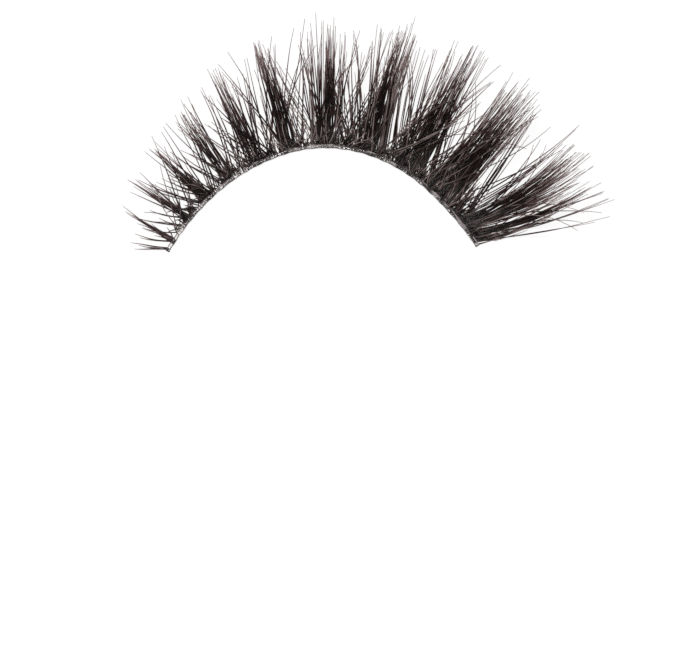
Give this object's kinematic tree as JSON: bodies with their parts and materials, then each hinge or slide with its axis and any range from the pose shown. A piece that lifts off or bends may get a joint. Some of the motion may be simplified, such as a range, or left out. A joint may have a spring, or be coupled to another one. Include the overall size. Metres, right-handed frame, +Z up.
{
  "type": "false eyelash strip",
  "caption": "Strip lash for an upper eyelid: a thin clear curved band with tapering, upward-curling tufts of brown-black lash hair that grow longer towards the outer corner.",
  "frame": {"origin": "under the crown of the band, on the surface that the strip lies on", "axes": "+X points to the outer corner of the eye, +Y from the band to the tips of the middle lashes, +Z up, the way the lashes curl"},
  "size_m": [0.0411, 0.0198, 0.007],
  "materials": {
    "hair": "brown-black synthetic lash fibre with a soft sheen along the hairs",
    "band": "clear, slightly milky thread and dried glue film, glossy"
  },
  "bodies": {
    "root": {"band": "band", "lash_cluster_01": "hair", "lash_cluster_02": "hair", "lash_cluster_03": "hair", "lash_cluster_04": "hair", "lash_cluster_05": "hair", "lash_cluster_06": "hair", "lash_cluster_07": "hair", "lash_cluster_08": "hair", "lash_cluster_09": "hair", "lash_cluster_10": "hair", "lash_cluster_11": "hair", "lash_cluster_12": "hair", "lash_cluster_13": "hair"}
  },
  "joints": []
}
